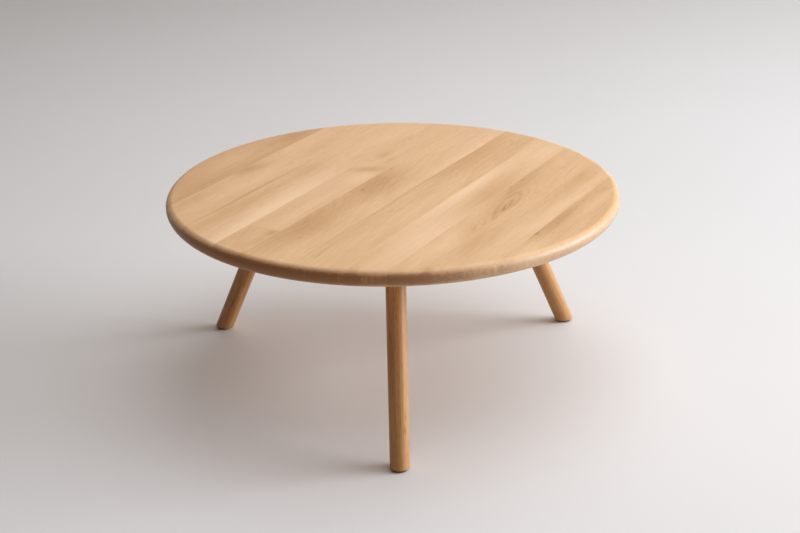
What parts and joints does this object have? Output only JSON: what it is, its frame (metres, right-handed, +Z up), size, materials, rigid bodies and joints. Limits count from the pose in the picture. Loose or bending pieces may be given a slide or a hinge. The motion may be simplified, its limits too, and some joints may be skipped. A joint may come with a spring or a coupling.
{
  "type": "folding low table",
  "caption": "Round low table of edge-glued solid oak boards with a rounded edge, on splayed turned legs that fold flat under the top in a pinwheel and are held by turn buttons.",
  "frame": {"origin": "on the floor under the centre of the round top, in the middle of the open table", "axes": "+Z up, square to the top; -Y towards the front leg; the right leg stands at 30 degrees and the left leg at 150 degrees from +X"},
  "size_m": [0.8, 0.8031, 0.352],
  "materials": {
    "oak_light": "oiled, pale, straight and flecked grain",
    "oak_tan": "oiled, tan, with darker growth lines",
    "oak_brown": "oiled, warm brown heartwood",
    "oak_turned": "turned, sanded and oiled",
    "felt": "pressed dark brown felt",
    "zinc_steel": "zinc plated sheet steel",
    "screw_steel": "bright zinc plated",
    "brass": "drawn tube",
    "nylon": "natural nylon"
  },
  "bodies": {
    "top": {"top_board_01": "oak_brown", "top_board_02": "oak_light", "top_board_03": "oak_tan", "top_board_04": "oak_light", "top_board_04_end": "oak_brown", "top_board_05": "oak_tan", "top_board_06": "oak_brown", "top_board_07": "oak_light", "top_board_08": "oak_brown", "top_board_09": "oak_tan", "top_board_10": "oak_brown", "channel_near": "zinc_steel", "channel_screws_near": "screw_steel", "channel_far": "zinc_steel", "channel_screws_far": "screw_steel", "hinge_bracket_front": "zinc_steel", "bracket_screws_front": "screw_steel", "pivot_bolt_front": "screw_steel", "friction_washers_front": "nylon", "disc_spring_front": "zinc_steel", "lock_nut_front": "screw_steel", "keeper_post_front": "oak_turned", "keeper_washer_front": "screw_steel", "keeper_screw_front": "screw_steel", "hinge_bracket_right": "zinc_steel", "bracket_screws_right": "screw_steel", "pivot_bolt_right": "screw_steel", "friction_washers_right": "nylon", "disc_spring_right": "zinc_steel", "lock_nut_right": "screw_steel", "keeper_post_right": "oak_turned", "keeper_washer_right": "screw_steel", "keeper_screw_right": "screw_steel", "hinge_bracket_left": "zinc_steel", "bracket_screws_left": "screw_steel", "pivot_bolt_left": "screw_steel", "friction_washers_left": "nylon", "disc_spring_left": "zinc_steel", "lock_nut_left": "screw_steel", "keeper_post_left": "oak_turned", "keeper_washer_left": "screw_steel", "keeper_screw_left": "screw_steel"},
    "leg_front": {"leg_front": "oak_turned", "foot_pad_front": "felt", "foot_nail_front": "screw_steel", "pivot_bush_front": "brass"},
    "button_front": {"keeper_button_front": "oak_turned"},
    "leg_right": {"leg_right": "oak_turned", "foot_pad_right": "felt", "foot_nail_right": "screw_steel", "pivot_bush_right": "brass"},
    "button_right": {"keeper_button_right": "oak_turned"},
    "leg_left": {"leg_left": "oak_turned", "foot_pad_left": "felt", "foot_nail_left": "screw_steel", "pivot_bush_left": "brass"},
    "button_left": {"keeper_button_left": "oak_turned"}
  },
  "joints": [
    {"name": "leg_front_fold", "type": "hinge", "parent": "top", "child": "leg_front", "pos_m": [0, -0.2465, 0.3], "axis": [0.9537, -0.3007, 0], "range_deg": [0, 114.22]},
    {"name": "button_front_turn", "type": "hinge", "parent": "top", "child": "button_front", "pos_m": [0.069, -0.03048, 0.2815], "axis": [0, 0, 1], "range_deg": [0, 90]},
    {"name": "leg_right_fold", "type": "hinge", "parent": "top", "child": "leg_right", "pos_m": [0.21348, 0.12325, 0.3], "axis": [-0.2164, 0.9763, 0], "range_deg": [0, 114.22]},
    {"name": "button_right_turn", "type": "hinge", "parent": "top", "child": "button_right", "pos_m": [-0.0081, 0.07499, 0.2815], "axis": [0, 0, 1], "range_deg": [0, 90]},
    {"name": "leg_left_fold", "type": "hinge", "parent": "top", "child": "leg_left", "pos_m": [-0.21348, 0.12325, 0.3], "axis": [-0.7373, -0.6756, 0], "range_deg": [0, 114.22]},
    {"name": "button_left_turn", "type": "hinge", "parent": "top", "child": "button_left", "pos_m": [-0.0609, -0.04451, 0.2815], "axis": [0, 0, 1], "range_deg": [0, 90]}
  ]
}
